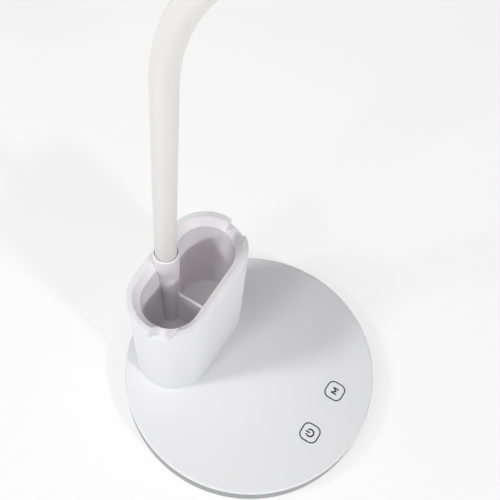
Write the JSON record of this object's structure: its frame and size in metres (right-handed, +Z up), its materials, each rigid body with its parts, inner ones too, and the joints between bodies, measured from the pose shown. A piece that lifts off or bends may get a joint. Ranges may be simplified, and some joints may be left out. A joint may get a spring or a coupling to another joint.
{
  "type": "desk lamp with organizer cup on its base",
  "caption": "Desk lamp on a round touch base: an oval two-compartment organizer cup with device rests stands on it, and a flexible neck rises from the cup to a slim lamp head.",
  "frame": {"origin": "centre of the round base on the desk", "axes": "+Z up, +X to the user's right along the organizer cup, -Y to the front, where the touch keys are"},
  "size_m": [0.16, 0.3482, 0.407],
  "materials": {
    "white_plastic": "fine satin",
    "white_silicone": "matt",
    "grey_foam": "matt",
    "steel": "zinc plated",
    "circuit_board": "solder mask",
    "aluminium_board": "white solder mask",
    "aluminium_plate": "plain",
    "brass_pads": "tinned",
    "diode_face": "cast resin",
    "opal_diffuser": "frosted",
    "light_grey_plastic": "fine satin",
    "printed_ink": "matt print"
  },
  "bodies": {
    "stand": {"antislip_pad": "grey_foam", "base_bottom": "white_plastic", "ballast_plate": "steel", "base_cover": "white_plastic", "base_screws": "steel", "ballast_screws": "steel", "control_board": "circuit_board", "board_screws": "steel", "touch_pads": "brass_pads", "inlet_board": "circuit_board", "power_socket": "steel", "organizer_shell": "white_plastic", "organizer_liner": "white_plastic", "organizer_screws": "steel", "neck_ferrule": "steel", "neck_washer": "steel", "neck_nut": "steel", "neck_sleeve_1": "white_silicone", "neck_core_1": "steel", "sleeve_bend_1": "white_silicone", "core_bend_1": "steel"},
    "neck_link_1": {"neck_sleeve_2": "white_silicone", "neck_core_2": "steel", "sleeve_bend_2": "white_silicone", "core_bend_2": "steel"},
    "neck_link_2": {"neck_sleeve_3": "white_silicone", "neck_core_3": "steel", "sleeve_bend_3": "white_silicone", "core_bend_3": "steel"},
    "neck_link_3": {"neck_sleeve_4": "white_silicone", "neck_core_4": "steel", "sleeve_bend_4": "white_silicone", "core_bend_4": "steel"},
    "neck_link_4": {"neck_sleeve_5": "white_silicone", "neck_core_5": "steel", "sleeve_bend_5": "white_silicone", "core_bend_5": "steel"},
    "neck_link_5": {"neck_sleeve_6": "white_silicone", "neck_core_6": "steel", "sleeve_bend_6": "white_silicone", "core_bend_6": "steel"},
    "lamp_head": {"neck_sleeve_7": "white_silicone", "neck_core_7": "steel", "head_housing": "white_plastic", "head_plug": "steel", "head_clamp": "white_plastic", "led_board": "aluminium_board", "heat_plate": "aluminium_plate", "led_chips": "diode_face", "light_frame": "white_plastic", "diffuser": "opal_diffuser", "board_holding_screws": "steel"}
  },
  "joints": [
    {"name": "neck_bend_1", "type": "hinge", "parent": "stand", "child": "neck_link_1", "pos_m": [0, 0.06078, 0.128], "axis": [1, 0, 0], "range_deg": [-12, 16], "deforming": ["sleeve_bend_1", "core_bend_1"]},
    {"name": "neck_bend_2", "type": "hinge", "parent": "neck_link_1", "child": "neck_link_2", "pos_m": [0, 0.05848, 0.19096], "axis": [0, 0.9993, 0.0384], "range_deg": [-25, 25], "deforming": ["sleeve_bend_2", "core_bend_2"]},
    {"name": "neck_bend_3", "type": "hinge", "parent": "neck_link_2", "child": "neck_link_3", "pos_m": [0, 0.05606, 0.25391], "axis": [1, 0, 0], "range_deg": [-25, 20], "deforming": ["sleeve_bend_3", "core_bend_3"]},
    {"name": "neck_bend_4", "type": "hinge", "parent": "neck_link_3", "child": "neck_link_4", "pos_m": [0, 0.04451, 0.31539], "axis": [0, 0.92, 0.3919], "range_deg": [-30, 30], "deforming": ["sleeve_bend_4", "core_bend_4"]},
    {"name": "neck_bend_5", "type": "hinge", "parent": "neck_link_4", "child": "neck_link_5", "pos_m": [0, 0.00782, 0.36595], "axis": [1, 0, 0], "range_deg": [-30, 20], "deforming": ["sleeve_bend_5", "core_bend_5"]},
    {"name": "neck_bend_6", "type": "hinge", "parent": "neck_link_5", "child": "lamp_head", "pos_m": [0, -0.04721, 0.39553], "axis": [0, 0.2649, 0.9643], "range_deg": [-35, 35], "deforming": ["sleeve_bend_6", "core_bend_6"]}
  ]
}
